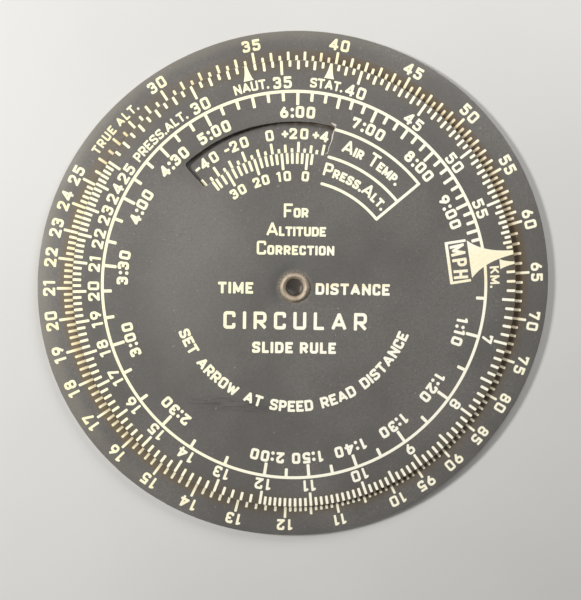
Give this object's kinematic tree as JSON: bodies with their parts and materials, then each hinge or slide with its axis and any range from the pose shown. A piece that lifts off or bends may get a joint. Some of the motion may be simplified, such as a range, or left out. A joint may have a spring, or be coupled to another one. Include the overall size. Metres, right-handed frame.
{
  "type": "circular flight computer",
  "caption": "Pocket circular slide rule for flight: a windowed dial with time and distance scales turns on a larger scale disc about a hollow eyelet.",
  "frame": {"origin": "on the pivot axis, at the back face of the base disc", "axes": "+Z along the pivot axis, out of the printed face; +Y towards the 6:00 mark of the rotating disc at rest, so its central lettering reads upright; +X to its right"},
  "size_m": [0.108, 0.108, 0.0035],
  "materials": {
    "disc_plastic": "satin grey plastic sheet with fine scuffs",
    "eyelet_metal": "dull, oxidised plated brass",
    "washer_metal": "dull, oxidised brass",
    "washer_fibre": "matt vulcanised fibre",
    "scale_ink": "satin cream printing ink"
  },
  "bodies": {
    "base": {"base_disc": "disc_plastic", "pivot_eyelet": "eyelet_metal", "spacer_washer": "washer_fibre", "back_washer": "washer_metal"},
    "dial": {"rotating_disc": "disc_plastic"}
  },
  "joints": [
    {"name": "dial_turn", "type": "hinge", "parent": "base", "child": "dial", "pos_m": [0, 0, 0], "axis": [0, 0, 1], "continuous": true}
  ]
}
